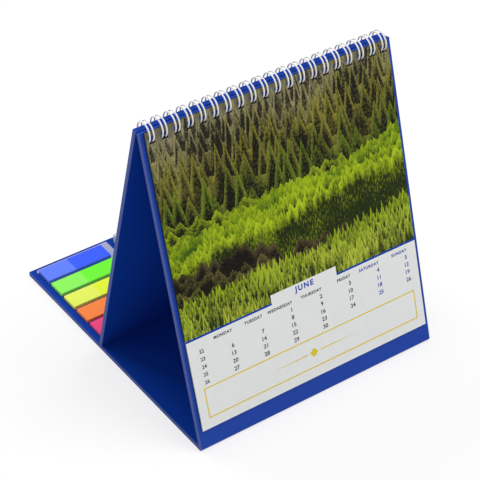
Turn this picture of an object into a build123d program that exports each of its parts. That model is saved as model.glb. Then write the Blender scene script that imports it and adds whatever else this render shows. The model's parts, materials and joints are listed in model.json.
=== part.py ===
from build123d import *
import math
import os

# Desk calendar: a board stand folded into an A, a twin-loop wire with month leaves, and a tray
# behind the leg that holds index flags and a note pad. Millimetres and degrees; +X to the right,
# +Y to the back, +Z up, origin under the middle of the stand's footprint.

# Stand boards
board_width = 160.0
base_length = 186.4
front_length = 188.0
core_thickness = 2.4
cover_thickness = 0.2
fold_radius = 2.0
front_lean = 74.1
foot_setback = 83.6
apex_clearance = 0.6
foot_clearance = 0.05
fold_clearance = 0.05

# Twin-loop wire
pair_count = 20
pair_end_margin = 3.27
pair_spacing = 2.4
ring_radius = 5.85
ring_setback = 0.4
ring_drop = 1.2
wire_diameter = 0.9
wire_side_share = math.sqrt(math.pi) / 2
link_bend_radius = 0.9
ring_facet = 15.0
bend_facet = 30.0
end_stub = 0.9
seam_gap = 1.6
wire_clearance = 0.15
hole_side_clearance = 0.2

# Month leaves
leaf_count = 8
leaf_side_margin = 2.35
leaf_foot_margin = 13.0
leaf_top_drop = 0.15
leaf_thickness = 0.11
leaf_gap = 0.02
turn_gap = 0.2
leaf_hole_height = 4.2
leaf_axis_rise = 0.45

# Index flags on their film card
flag_colours = ("pink", "orange", "yellow", "green", "blue")
flag_length = 44.0
flag_width = 12.3
flag_pad_height = 1.9
flag_film = 0.1
flag_end_margin = 3.0
flag_side_margin = 0.8
card_width = 50.4
card_thickness = 0.3
card_side_margin = 3.2
card_front_margin = 1.6
card_rear_margin = 1.7
card_corner_radius = 0.8

# Note pad
note_height = 6.0
note_sheet = 0.1
note_gap = 3.8
note_side_margin = 2.6
note_front_margin = 1.3
note_rear_margin = 4.4

# Overrun of every cut
overrun = 1.0

# Double-sided tape under the card and the pad
tape_thickness = 0.1
tape_inset = 6.0

# Least-gap test of the wire, and the unit of the printed hinge lines
gap_skip_share = 3.0
mm_per_metre = 1000

# Derived sizes of the stand, in the plane across the fold
board_thickness = core_thickness + cover_thickness + cover_thickness
half_width = board_width / 2
lean = math.radians(front_lean)
fold_tangent = fold_radius / math.tan(lean / 2)
fold_front = -base_length / 2
base_rear = base_length / 2
fold_axis = Vector(0, fold_front + fold_radius, fold_radius)
front_up = Vector(0, math.cos(lean), math.sin(lean))
front_in = Vector(0, math.sin(lean), -math.cos(lean))
front_foot = fold_axis - front_in * fold_radius
front_rise = front_length - fold_tangent


def on_front(rise, depth):
    """Point of the front board: rise along its face from the fold, depth behind the face."""
    return front_foot + front_up * rise + front_in * depth


# Derived sizes of the leg, from the front board's top to its foot on the base
leg_top = on_front(front_rise, board_thickness) + Vector(0, apex_clearance, 0)
foot_y = base_rear - foot_setback
leg_drop = leg_top.Z - board_thickness - foot_clearance
leg_lean = math.atan2(leg_drop, foot_y - leg_top.Y)
leg_down = Vector(0, math.cos(leg_lean), -math.sin(leg_lean))
leg_out = Vector(0, math.sin(leg_lean), math.cos(leg_lean))
leg_length = leg_drop / math.sin(leg_lean)


def on_leg(drop, depth):
    """Point of the leg: drop along its inner face from the top, depth towards the back."""
    return leg_top + leg_down * drop + leg_out * depth


# Derived sizes of the wire and its holes
wire_radius = wire_diameter / 2
ring_depth = board_thickness + ring_setback
ring_rise = front_rise - ring_drop
ring_centre = on_front(ring_rise, ring_depth)
leaf_width = board_width - 2 * leaf_side_margin
pair_pitch = (leaf_width - 2 * pair_end_margin) / (pair_count - 1)
hole_width = pair_spacing + wire_diameter + 2 * hole_side_clearance


def pair_x(index):
    """Middle of one pair of loops."""
    return (index - (pair_count - 1) / 2) * pair_pitch


def wire_reach(distance):
    """Least and greatest drop from the ring's centre of the wire where it meets a plane."""
    inner = math.sqrt((ring_radius - wire_radius) ** 2 - distance**2)
    outer = math.sqrt((ring_radius + wire_radius) ** 2 - distance**2)
    return inner, outer


def hole_span(near, far):
    """Drops from the ring's centre of a hole that clears the wire between two planes."""
    drops = wire_reach(near) + wire_reach(far)
    return min(drops) - wire_clearance, max(drops) + wire_clearance


def slab(points, width):
    """Plate of a given width in X with an outline in the plane across the fold."""
    outline = Polyline(*points, close=True)
    return extrude(make_face(outline), amount=width / 2, dir=(1, 0, 0), both=True)


def hole_row(place, near_drop, far_drop, near_depth, far_depth):
    """The row of holes for the wire, cut between two drops and through two depths of one board."""
    first = min(near_depth, far_depth) - overrun
    last = max(near_depth, far_depth) + overrun
    corners = (
        place(near_drop, first),
        place(far_drop, first),
        place(far_drop, last),
        place(near_drop, last),
    )
    one_hole = slab(corners, hole_width)
    return [Pos(pair_x(index), 0, 0) * one_hole for index in range(pair_count)]


def mitre(depth):
    """How far a board ends short of the fold axis on the inside of the fold."""
    return max(0, depth - fold_radius) / math.tan(lean / 2)


def base_layer(low, high):
    """One layer of the base board, mitred against the front board above the fold axis."""
    knee = min(max(low, fold_radius), high)
    heights = (low, knee, high) if low < knee < high else (low, high)
    end = [Vector(0, fold_axis.Y + mitre(z), z) for z in heights]
    return slab(end + [Vector(0, base_rear, high), Vector(0, base_rear, low)], board_width)


def front_layer(near, far):
    """One layer of the front board between two depths behind its face, with the wire's holes."""
    knee = min(max(near, fold_radius), far)
    depths = (near, knee, far) if near < knee < far else (near, far)
    end = [on_front(mitre(depth) + fold_clearance, depth) for depth in depths]
    layer = slab(end + [on_front(front_rise, far), on_front(front_rise, near)], board_width)
    high, low = hole_span(ring_depth, ring_depth - board_thickness)
    holes = hole_row(on_front, ring_rise - high, ring_rise - low, near, far)
    return layer - holes


def leg_layer(near, far):
    """One layer of the leg between two depths behind its inner face, with the wire's holes."""
    corners = ((0, near), (leg_length, near), (leg_length, far), (0, far))
    layer = slab([on_leg(drop, depth) for drop, depth in corners], board_width)
    ring_to_leg = leg_top - ring_centre
    inner = ring_to_leg.dot(leg_out)
    high, low = hole_span(inner, inner + board_thickness)
    level = -ring_to_leg.dot(leg_down)
    return layer - hole_row(on_leg, level + high, level + low, near, far)


def fold_spine():
    """The creased strip of cover and board that turns round the fold, a sector about its axis."""
    start = fold_axis - Vector(0, 0, fold_radius)
    middle = fold_axis - (Vector(0, 0, 1) + front_in).normalized() * fold_radius
    arc = ThreePointArc(start, middle, front_foot)
    outline = Wire([Line(fold_axis, start), arc, Line(front_foot, fold_axis)])
    return extrude(Face(outline), amount=half_width, dir=(1, 0, 0), both=True)


def ring_way(angle):
    """Direction out of the ring's centre: 0 is down the front board, growing towards the leg."""
    turn = math.radians(angle)
    return front_in * math.sin(turn) - front_up * math.cos(turn)


def ring_tangent(angle):
    """Direction of growing angle on the ring."""
    turn = math.radians(angle)
    return front_in * math.cos(turn) + front_up * math.sin(turn)


def arc_points(centre, first, second, radius, turn, facet):
    """Points of a faceted arc that turns from a first direction towards a second, square to it."""
    count = round(turn / facet)
    angles = [math.radians(turn) * step / count for step in range(count + 1)]
    return [centre + (first * math.cos(a) + second * math.sin(a)) * radius for a in angles]


def wire_points():
    """Centre line of the binding: each prong leaves its link, goes round the ring and returns."""
    link_angle = math.degrees(math.asin((wire_radius + wire_clearance - ring_setback) / ring_radius))
    seam_length = link_bend_radius + pair_spacing / 2 + seam_gap
    ring_turn = 360 - math.degrees(seam_length / ring_radius)
    tip_angle = link_angle - ring_turn
    across = Vector(1, 0, 0)
    link_way = ring_tangent(link_angle)
    tip_way = ring_tangent(tip_angle)
    bend = link_bend_radius
    points = []
    for index in range(pair_count):
        middle = ring_centre + across * pair_x(index)
        left = middle - across * (pair_spacing / 2)
        right = middle + across * (pair_spacing / 2)
        link = ring_way(link_angle) * ring_radius
        tip = ring_way(tip_angle) * ring_radius
        arcs = (
            (left + link - across * bend, link_way, across, bend, 90, bend_facet),
            (left, ring_way(link_angle), -link_way, ring_radius, ring_turn, ring_facet),
            (middle + tip, -across, -tip_way, pair_spacing / 2, 180, bend_facet),
            (right, ring_way(tip_angle), tip_way, ring_radius, ring_turn, ring_facet),
            (right + link + across * bend, -across, link_way, bend, 90, bend_facet),
        )
        for order, arc in enumerate(arcs):
            repeated = 1 if order else 0
            points += arc_points(*arc)[repeated:]
    stub = across * end_stub
    return [points[0] - stub] + points + [points[-1] + stub]


def least_gap(points):
    """Least gap of the wire to itself over two neighbouring pairs, on its points and midpoints."""
    some = points[: 2 * len(points) // pair_count]
    pairs = list(zip(some, some[1:]))
    samples = [place for a, b in pairs for place in (a, (a + b) / 2)]
    steps = [(b - a).length for a, b in zip(samples, samples[1:])]
    stations = [sum(steps[:index]) for index in range(len(samples))]
    gaps = [
        (samples[i] - samples[j]).length
        for i in range(len(samples))
        for j in range(i)
        if stations[i] - stations[j] > gap_skip_share * wire_diameter
    ]
    return min(gaps) - wire_diameter


def wire_binding(points):
    """The unbroken wire, with a four-sided section of the round wire's area."""
    side = wire_diameter * wire_side_share
    path = Wire(Polyline(*points).edges())
    start = Plane(origin=points[0], x_dir=front_in, z_dir=(1, 0, 0))
    return sweep(start * Rectangle(side, side), path=path, transition=Transition.RIGHT, clean=False)


def leaf(index):
    """One month leaf, counted from the back of the stack; the front leaf stands off to turn."""
    extra = turn_gap if index == leaf_count - 1 else 0
    back = -(leaf_gap + index * (leaf_thickness + leaf_gap) + extra)
    face = back - leaf_thickness
    top = front_rise - leaf_top_drop
    foot = leaf_foot_margin - fold_tangent
    corners = ((foot, back), (top, back), (top, face), (foot, face))
    sheet = slab([on_front(rise, depth) for rise, depth in corners], leaf_width)
    low = ring_rise - wire_reach(ring_depth + leaf_gap)[1] - wire_clearance
    return sheet - hole_row(on_front, low, low + leaf_hole_height, back, face)


def block(left, right, front, rear, bottom, height):
    """Upright block between named edges."""
    middle = Vector((left + right) / 2, (front + rear) / 2, bottom + height / 2)
    return Pos(middle) * Box(right - left, rear - front, height)


# Places in the tray
tray_front = on_leg(leg_length, board_thickness).Y
tray_floor = board_thickness
card_left = -half_width + card_side_margin
card_right = card_left + card_width
card_front = tray_front + card_front_margin
card_rear = base_rear - card_rear_margin
card_bottom = tray_floor + tape_thickness
flag_left = card_left + flag_side_margin
flag_right = flag_left + flag_length
flag_bottom = card_bottom + card_thickness
flag_top = flag_bottom + flag_pad_height
flag_first = card_front + flag_end_margin
flag_pitch = (card_rear - card_front - 2 * flag_end_margin - flag_width) / (len(flag_colours) - 1)
note_left = card_right + note_gap
note_right = half_width - note_side_margin
note_front = tray_front + note_front_margin
note_rear = base_rear - note_rear_margin
note_bottom = tray_floor + tape_thickness
note_top = note_bottom + note_height


def tape(left, right, front, rear):
    """Strip of double-sided tape, inset under the piece that it holds."""
    edges = (left + tape_inset, right - tape_inset, front + tape_inset, rear - tape_inset)
    return block(*edges, tray_floor, tape_thickness)


def flag_card():
    """Film card that carries the flags, with rounded corners."""
    card = block(card_left, card_right, card_front, card_rear, card_bottom, card_thickness)
    return fillet(card.edges().filter_by(Axis.Z), card_corner_radius)


def flag(row, bottom, height):
    """A pad of flags, or its top flag, in one row of the card."""
    front = flag_first + row * flag_pitch
    return block(flag_left, flag_right, front, front + flag_width, bottom, height)


def build_parts():
    """Every piece of the calendar by its node name."""
    outer_end = cover_thickness
    core_end = cover_thickness + core_thickness
    wire = wire_points()
    wire_length = sum((b - a).length for a, b in zip(wire, wire[1:]))
    print(f"wire length {wire_length:.1f} mm, least gap to itself {least_gap(wire):.2f} mm")
    parts = {
        "base_core": base_layer(outer_end, core_end),
        "base_bottom_cover": base_layer(0, outer_end),
        "base_top_cover": base_layer(core_end, board_thickness),
        "fold_spine": fold_spine(),
        "front_core": front_layer(outer_end, core_end),
        "front_face_cover": front_layer(0, outer_end),
        "front_back_cover": front_layer(core_end, board_thickness),
        "leg_core": leg_layer(outer_end, core_end),
        "leg_inner_cover": leg_layer(0, outer_end),
        "leg_rear_cover": leg_layer(core_end, board_thickness),
        "wire_binding": wire_binding(wire),
        "flag_tape": tape(card_left, card_right, card_front, card_rear),
        "flag_card": flag_card(),
        "note_tape": tape(note_left, note_right, note_front, note_rear),
        "note_pad": block(note_left, note_right, note_front, note_rear, note_bottom, note_height),
        "note_top_sheet": block(note_left, note_right, note_front, note_rear, note_top, note_sheet),
    }
    for index in range(leaf_count):
        parts[f"month_leaf_{leaf_count - index:02d}"] = leaf(index)
    for row, colour in enumerate(flag_colours):
        parts[f"flag_pad_{colour}"] = flag(row, flag_bottom, flag_pad_height)
        parts[f"flag_top_{colour}"] = flag(row, flag_top, flag_film)
    return parts


def print_axes():
    """Hinge lines in metres, for the record of the joints."""
    leaf_axis = ring_centre + front_up * leaf_axis_rise
    lines = {
        "front_fold": fold_axis,
        "leg_fold": ring_centre,
        "leaf_turn": leaf_axis,
        "note_lift": Vector(0, note_rear, note_top),
        "flag_lift": Vector(flag_left, flag_first, flag_top),
    }
    for name, point in lines.items():
        print(name, [round(value / mm_per_metre, 6) for value in point])


os.makedirs("parts", exist_ok=True)
for node, solid in build_parts().items():
    export_step(solid, f"parts/{node}.step")
print_axes()
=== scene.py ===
"""Looks of a folding board desk calendar: finishes, printed leaves, round wire, flags and note pad."""
import json
import logging
import math
from dataclasses import dataclass, replace
from enum import Enum
from typing import Any, Sequence

import bpy
import numpy as np
from mathutils import Matrix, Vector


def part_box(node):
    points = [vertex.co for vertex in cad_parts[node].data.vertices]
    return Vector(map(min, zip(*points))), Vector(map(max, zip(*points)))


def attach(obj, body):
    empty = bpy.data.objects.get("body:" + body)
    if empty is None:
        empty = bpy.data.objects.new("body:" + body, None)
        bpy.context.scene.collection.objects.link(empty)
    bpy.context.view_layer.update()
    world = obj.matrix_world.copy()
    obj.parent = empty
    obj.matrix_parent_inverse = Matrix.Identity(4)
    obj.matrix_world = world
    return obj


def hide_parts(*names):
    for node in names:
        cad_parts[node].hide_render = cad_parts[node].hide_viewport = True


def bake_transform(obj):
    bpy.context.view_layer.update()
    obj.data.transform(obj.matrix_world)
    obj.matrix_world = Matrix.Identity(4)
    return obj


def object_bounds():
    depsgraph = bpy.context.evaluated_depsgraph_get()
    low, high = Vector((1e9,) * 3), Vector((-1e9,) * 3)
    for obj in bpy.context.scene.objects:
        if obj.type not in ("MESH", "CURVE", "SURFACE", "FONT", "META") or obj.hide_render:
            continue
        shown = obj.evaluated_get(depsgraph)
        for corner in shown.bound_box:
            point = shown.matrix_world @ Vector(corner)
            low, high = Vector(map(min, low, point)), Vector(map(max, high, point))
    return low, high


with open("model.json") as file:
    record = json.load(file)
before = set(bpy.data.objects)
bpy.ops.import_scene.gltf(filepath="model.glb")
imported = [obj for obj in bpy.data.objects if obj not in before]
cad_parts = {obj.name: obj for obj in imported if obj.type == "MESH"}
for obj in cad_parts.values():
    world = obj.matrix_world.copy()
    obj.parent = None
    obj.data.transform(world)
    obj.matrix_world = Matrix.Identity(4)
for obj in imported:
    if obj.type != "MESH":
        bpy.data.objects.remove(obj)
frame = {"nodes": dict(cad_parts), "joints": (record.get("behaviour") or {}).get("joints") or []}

CAD_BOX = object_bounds()
MM = 0.001
LEAF_UV = "leaf_plane"
WHITE = (1.0, 1.0, 1.0, 1.0)
RELIEF_STRENGTH = 0.3

# Lines of a stack's sheets run far along X and Y, and show on faces whose normal rises less than this.
SHEET_STRETCH = (0.02, 0.02, 1.0)
UPRIGHT_RISE = 0.5

# Rounding of a loose sheet's corners.
SHEET_CORNER_MM = 0.3
SHEET_CORNER_STEPS = 4

# Pairs of wire loops, each in one hole of a leaf, and the way from the leaf's side to the first pair.
PAIR_COUNT = 20
PAIR_MARGIN_MM = 3.27

# Lettering: a capital's share of the font's size, a letter's depth and curve steps, and the weld's accuracy.
CAP_SHARE = 0.73
LETTER_DEPTH = 0.05
LETTER_STEPS = 3
WELD_DECIMALS = 4

LOG = logging.getLogger("desk_calendar")

Array = np.ndarray
Socket = bpy.types.NodeSocket
Material = bpy.types.Material
Faces = Sequence[Sequence[int]]
Inputs = dict[int | str, Any]
Colour = tuple[float, float, float, float]


def linear(hex_colour: str) -> Colour:
    """Turns an sRGB hex colour into a linear RGBA colour.

    Args:
        hex_colour: Colour as #rrggbb.

    Returns:
        Linear red, green, blue and an alpha of 1.
    """
    levels = [int(hex_colour[i : i + 2], 16) / 255 for i in (1, 3, 5)]
    red, green, blue = (c / 12.92 if c <= 0.04045 else ((c + 0.055) / 1.055) ** 2.4 for c in levels)
    return red, green, blue, 1.0


def between(first: str, last: str, share: float) -> Colour:
    """Linear colour at a share of the way from one hex colour to another."""
    return tuple((1 - share) * a + share * b for a, b in zip(linear(first), linear(last)))


def per_metre(size_mm: float) -> float:
    """Texture scale at which one feature of a pattern is size_mm wide."""
    return 1 / (size_mm * MM)


def add_node(
    tree: bpy.types.NodeTree,
    kind: str,
    inputs: Inputs | None = None,
    output: int | str = 0,
    **settings: Any,
) -> Socket | None:
    """Adds one node with its settings, values and links.

    Args:
        tree: Tree that takes the node.
        kind: Node type without its ShaderNode prefix.
        inputs: Values, or sockets to link, by input name or number.
        output: Name or number of the output that is wanted.
        settings: Attributes of the node.

    Returns:
        The wanted output, or nothing for a node that has none.
    """
    node = tree.nodes.new("ShaderNode" + kind)
    for name, value in settings.items():
        setattr(node, name, value)
    for key, value in (inputs or {}).items():
        if isinstance(value, bpy.types.NodeSocket):
            tree.links.new(value, node.inputs[key])
        else:
            node.inputs[key].default_value = value
    return node.outputs[output] if node.outputs else None


@dataclass(frozen=True)
class Sheen:
    """How a finish takes light: roughness at a fine pattern's lowest and highest, its height, and gloss."""

    rough: tuple[float, float]
    relief_mm: float
    gloss: float = 0.5
    ior: float = 1.5


class Shading:
    """A material under construction, with its Principled shader and Object coordinates."""

    def __init__(self, name: str) -> None:
        """Makes the material and finds its shader.

        Args:
            name: Name of the material and its finish.
        """
        self.material = bpy.data.materials.new(name)
        self.material.use_nodes = True
        self.tree = self.material.node_tree
        self.shader = next(n for n in self.tree.nodes if n.type == "BSDF_PRINCIPLED")
        self.at = self.add("TexCoord", output="Object")

    def add(
        self, kind: str, inputs: Inputs | None = None, output: int | str = 0, **settings: Any
    ) -> Socket:
        """Adds one node to this material, with the arguments of add_node."""
        return add_node(self.tree, kind, inputs, output, **settings)

    def stacked(self, layer_mm: float) -> Socket:
        """Lines one sheet thick on upright sides: level noise, masked by the normal's rise.

        Args:
            layer_mm: Thickness of a sheet as drawn.

        Returns:
            Share of shade from 0 to 1.
        """
        level = self.add("Mapping", {"Vector": self.at, "Scale": SHEET_STRETCH})
        lines = self.add("TexNoise", {"Vector": level, "Scale": per_metre(layer_mm), "Detail": 2.0})
        normal = self.add("NewGeometry", output="Normal")
        upward = self.add("Math", {0: self.add("SeparateXYZ", {0: normal}, "Z")}, operation="ABSOLUTE")
        side = self.add("Math", {0: upward, 1: UPRIGHT_RISE}, operation="LESS_THAN")
        return self.add("Math", {0: side, 1: lines}, operation="MULTIPLY")

    def finish(self, colour: Socket, pattern: Socket, sheen: Sheen, **fixed: Any) -> Material:
        """Links colour, and one fine pattern as gloss and relief, and sets what is the same all over.

        Args:
            colour: Base colour.
            pattern: Fine height pattern.
            sheen: How the surface takes light.
            fixed: Further shader sockets by name, with underscores for blanks.

        Returns:
            The finished material.
        """
        low, high = sheen.rough
        spread = self.add("MapRange", {0: pattern, 3: low, 4: high})
        depth = sheen.relief_mm * MM
        normal = self.add("Bump", {"Height": pattern, "Distance": depth, "Strength": RELIEF_STRENGTH})
        for name, socket in (("Base Color", colour), ("Roughness", spread), ("Normal", normal)):
            self.tree.links.new(socket, self.shader.inputs[name])
        fixed |= {"IOR": sheen.ior, "Specular_IOR_Level": sheen.gloss}
        for name, value in fixed.items():
            self.shader.inputs[name.replace("_", " ")].default_value = value
        return self.material


@dataclass(frozen=True)
class CoverPaper:
    """Blue cover paper: deep and even, with faint fibres and a painted highlight along both sides; gloss
    tells film from paper.
    """

    name: str
    gloss: float
    tint: str = "#0b3a9c"
    fleck: str = "#1644a6"
    # Lighter tint of a painted highlight along the cover's cut edges at both sides.
    edge_highlight: str = "#3f559f"
    fibre_mm: float = 0.9
    cloud_mm: float = 30.0
    edge_highlight_mm: float = 0.5
    half_width_mm: float = CAD_BOX[1][0] / MM
    sheen: Sheen = Sheen((0.42, 0.55), 0.02, ior=1.48)

    def material(self) -> Material:
        """Builds the material: fibres times clouds for the tint, and a lighter strip along both sides as
        painted highlight.

        Returns:
            The finished material.
        """
        s = Shading(self.name)
        fibres = s.add("TexNoise", {"Vector": s.at, "Scale": per_metre(self.fibre_mm), "Detail": 4.0})
        clouds = s.add("TexNoise", {"Vector": s.at, "Scale": per_metre(self.cloud_mm), "Detail": 2.0})
        mottle = s.add("Math", {0: fibres, 1: clouds}, operation="MULTIPLY")
        tinted = s.add("Mix", {0: mottle, 6: linear(self.tint), 7: linear(self.fleck)}, 2, data_type="RGBA")
        # Painted highlight: the tint lightens towards either side of the board, broken up by the clouds.
        side = s.add("Math", {0: s.add("SeparateXYZ", {0: s.at}, "X")}, operation="ABSOLUTE")
        near, far = (self.half_width_mm - self.edge_highlight_mm) * MM, self.half_width_mm * MM
        edge = s.add("MapRange", {0: side, 1: near, 2: far})
        edge_highlight_share = s.add("Math", {0: edge, 1: clouds}, operation="MULTIPLY")
        colour = s.add("Mix", {0: edge_highlight_share, 6: tinted, 7: linear(self.edge_highlight)}, 2, data_type="RGBA")
        return s.finish(colour, fibres, replace(self.sheen, gloss=self.gloss))


@dataclass(frozen=True)
class CutBoard:
    """Dyed pulp board: blue where the cover is turned in, dry and greyer where it is cut at the sides."""

    name: str = "pulp_board_dyed_cut_edge"
    tint: str = "#0d3ca0"
    cut: str = "#3a4c94"
    fibre: str = "#5a669d"
    fibre_mm: float = 0.5
    fibre_stretch: tuple[float, float, float] = (0.16, 1.0, 0.16)
    sheen: Sheen = Sheen((0.6, 0.85), 0.06, 0.16)

    def material(self) -> Material:
        """Builds the material: fibres along the sheet, shown on faces that look sideways.

        Returns:
            The finished material.
        """
        s = Shading(self.name)
        laid = s.add("Mapping", {"Vector": s.at, "Scale": self.fibre_stretch})
        fibres = s.add("TexNoise", {"Vector": laid, "Scale": per_metre(self.fibre_mm), "Detail": 5.0})
        cut = s.add("Mix", {0: fibres, 6: linear(self.cut), 7: linear(self.fibre)}, 2, data_type="RGBA")
        normal = s.add("NewGeometry", output="Normal")
        sideways = s.add("Math", {0: s.add("SeparateXYZ", {0: normal}, "X")}, operation="ABSOLUTE")
        colour = s.add("Mix", {0: sideways, 6: linear(self.tint), 7: cut}, 2, data_type="RGBA")
        return s.finish(colour, fibres, self.sheen)


@dataclass(frozen=True)
class Paper:
    """Paper: nearly white, with a fine even tooth, faint clouds, and painted shade in lines between the
    sheets on a stack's sides.
    """

    name: str
    tint: str = "#e2e4e3"
    cloud: str = "#dcdedd"
    # Painted shade in the gaps between a stack's sheets.
    gap: str = "#8f9296"
    tooth_mm: float = 0.35
    cloud_mm: float = 5.0
    layer_mm: float = 0.4
    gap_shade_share: float = 0.5
    sheen: Sheen = Sheen((0.55, 0.7), 0.01, 0.3)

    def material(self) -> Material:
        """Builds the material.

        Returns:
            The finished material.
        """
        s = Shading(self.name)
        clouds = s.add("TexNoise", {"Vector": s.at, "Scale": per_metre(self.cloud_mm), "Detail": 3.0})
        tooth = s.add("TexNoise", {"Vector": s.at, "Scale": per_metre(self.tooth_mm), "Detail": 3.0})
        white = s.add("Mix", {0: clouds, 6: linear(self.tint), 7: linear(self.cloud)}, 2, data_type="RGBA")
        # Painted shade: a stack's sides darken towards the gap colour in lines one sheet thick.
        painted_side_lines = s.add("Math", {0: s.stacked(self.layer_mm), 1: self.gap_shade_share}, operation="MULTIPLY")
        colour = s.add("Mix", {0: painted_side_lines, 6: white, 7: linear(self.gap)}, 2, data_type="RGBA")
        return s.finish(colour, tooth, self.sheen)


@dataclass(frozen=True)
class Ink:
    """Offset or foil ink: a thin film, slightly mottled by the paper under it."""

    name: str
    tint: str
    thin: str
    mottle_mm: float = 0.6
    sheen: Sheen = Sheen((0.45, 0.6), 0.004, 0.1)

    def material(self) -> Material:
        """Builds the material.

        Returns:
            The finished material.
        """
        s = Shading(self.name)
        mottle = s.add("TexNoise", {"Vector": s.at, "Scale": per_metre(self.mottle_mm), "Detail": 4.0})
        colour = s.add("Mix", {0: mottle, 6: linear(self.tint), 7: linear(self.thin)}, 2, data_type="RGBA")
        return s.finish(colour, mottle, self.sheen)


@dataclass(frozen=True)
class CoatedWire:
    """Steel wire under white nylon: bright and smooth, with a soft gloss and faint drawing marks."""

    name: str = "steel_wire_white_nylon"
    tint: str = "#f0f0ed"
    grime: str = "#dfdedb"
    mark_mm: float = 1.6
    sheen: Sheen = Sheen((0.25, 0.4), 0.01, ior=1.53)
    coat: float = 0.2
    coat_rough: float = 0.2

    def material(self) -> Material:
        """Builds the material.

        Returns:
            The finished material.
        """
        s = Shading(self.name)
        marks = s.add("TexNoise", {"Vector": s.at, "Scale": per_metre(self.mark_mm), "Detail": 4.0})
        colour = s.add("Mix", {0: marks, 6: linear(self.tint), 7: linear(self.grime)}, 2, data_type="RGBA")
        return s.finish(colour, marks, self.sheen, Coat_Weight=self.coat, Coat_Roughness=self.coat_rough)


@dataclass(frozen=True)
class TintedFilm:
    """Tinted polyester film flag: a clear bright part, and a paler part frosted for writing on."""

    name: str
    bright: str
    pale: str
    # Tint of a pad's sides, paler and lighter than its face: painted light on the sides.
    edge: str
    split_m: float
    frost_mm: float = 0.5
    layer_mm: float = 0.35
    side_light_share: float = 1.5
    sheen: Sheen = Sheen((0.4, 0.55), 0.005, 0.2, 1.57)

    def material(self) -> Material:
        """Builds the material; a stack's sides are painted paler and lighter than the face as painted light,
        in fine lines one film thick.

        Returns:
            The finished material.
        """
        s = Shading(self.name)
        along = s.add("SeparateXYZ", {0: s.at}, "X")
        clear = s.add("Math", {0: along, 1: self.split_m}, operation="GREATER_THAN")
        frost = s.add("TexNoise", {"Vector": s.at, "Scale": per_metre(self.frost_mm), "Detail": 3.0})
        face = s.add("Mix", {0: clear, 6: linear(self.pale), 7: linear(self.bright)}, 2, data_type="RGBA")
        # Painted light: the sides turn towards the lighter side tint in lines one film thick.
        lines = {0: s.stacked(self.layer_mm), 1: self.side_light_share}
        painted_side_lines = s.add("Math", lines, operation="MULTIPLY", use_clamp=True)
        colour = s.add("Mix", {0: painted_side_lines, 6: face, 7: linear(self.edge)}, 2, data_type="RGBA")
        return s.finish(colour, frost, self.sheen)


@dataclass(frozen=True)
class CardFilm:
    """Polyester film card, drawn opaque: where clear, painted with the board's blue, darkened as painted
    shade between the flags; milky along its right and rear margins.

    The right margin starts at right_m; the rear one starts at corner_m, about which its left end is round.
    """

    right_m: float
    corner_m: tuple[float, float]
    rim_mm: float
    name: str = "polyester_film_card"
    # The board's blue painted on the film as if seen through it, darkened as painted shade.
    through: str = "#0b3489"
    milky: str = "#a6a9c2"
    cloud: str = "#9ca0ba"
    cloud_mm: float = 2.5
    sheen: Sheen = Sheen((0.35, 0.5), 0.003, 0.2, 1.57)

    def material(self) -> Material:
        """Builds the material: the rear margin lies where the distance to its corner is below the rim.

        Returns:
            The finished material.
        """
        s = Shading(self.name)
        clouds = s.add("TexNoise", {"Vector": s.at, "Scale": per_metre(self.cloud_mm), "Detail": 3.0})
        axes = s.add("SeparateXYZ", {0: s.at}).node.outputs
        right = s.add("Math", {0: axes["X"], 1: self.right_m}, operation="GREATER_THAN")
        left = s.add("Math", {0: self.corner_m[0], 1: axes["X"]}, operation="SUBTRACT", use_clamp=True)
        back = s.add("Math", {0: axes["Y"], 1: self.corner_m[1]}, operation="SUBTRACT", use_clamp=True)
        away = s.add("CombineXYZ", {0: left, 1: back})
        reach = s.add("VectorMath", {0: away}, "Value", operation="LENGTH")
        near = s.add("Math", {0: reach, 1: self.rim_mm * MM}, operation="LESS_THAN")
        behind = s.add("Math", {0: back, 1: 0.0}, operation="GREATER_THAN")
        rear = s.add("Math", {0: near, 1: behind}, operation="MULTIPLY")
        margin = s.add("Math", {0: right, 1: rear}, operation="MAXIMUM")
        pale = s.add("Mix", {0: clouds, 6: linear(self.milky), 7: linear(self.cloud)}, 2, data_type="RGBA")
        # Where clear, the board's blue painted in shade; milky in the margins.
        colour = s.add("Mix", {0: margin, 6: linear(self.through), 7: pale}, 2, data_type="RGBA")
        return s.finish(colour, clouds, self.sheen)


class PrintTexture(Enum):
    """Grain of a printed plant: size, how much taller than wide, and height of its edge, in millimetres."""

    NEEDLES = (1.1, 1.5, 3.2)
    LEAVES = (1.6, 0.8, 4.5)
    BLADES = (0.9, 3.0, 4.0)


@dataclass(frozen=True)
class Growth:
    """Rows of printed plants from the farthest to the nearest, with pairs for the first and the last row.

    Height is a row's level above the picture's foot, crown how far its plants rise over that, gap their
    spacing and depth how far down they are lit, all in millimetres; slope is the rise across the picture.
    """

    texture: PrintTexture
    rows: int
    height: tuple[float, float]
    crown: tuple[float, float]
    gap: tuple[float, float]
    depth: tuple[float, float]
    light: tuple[str, str]
    shade: tuple[str, str]
    slope: float = 0.0
    swell: float = 4.0
    swell_length: float = 45.0


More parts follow.
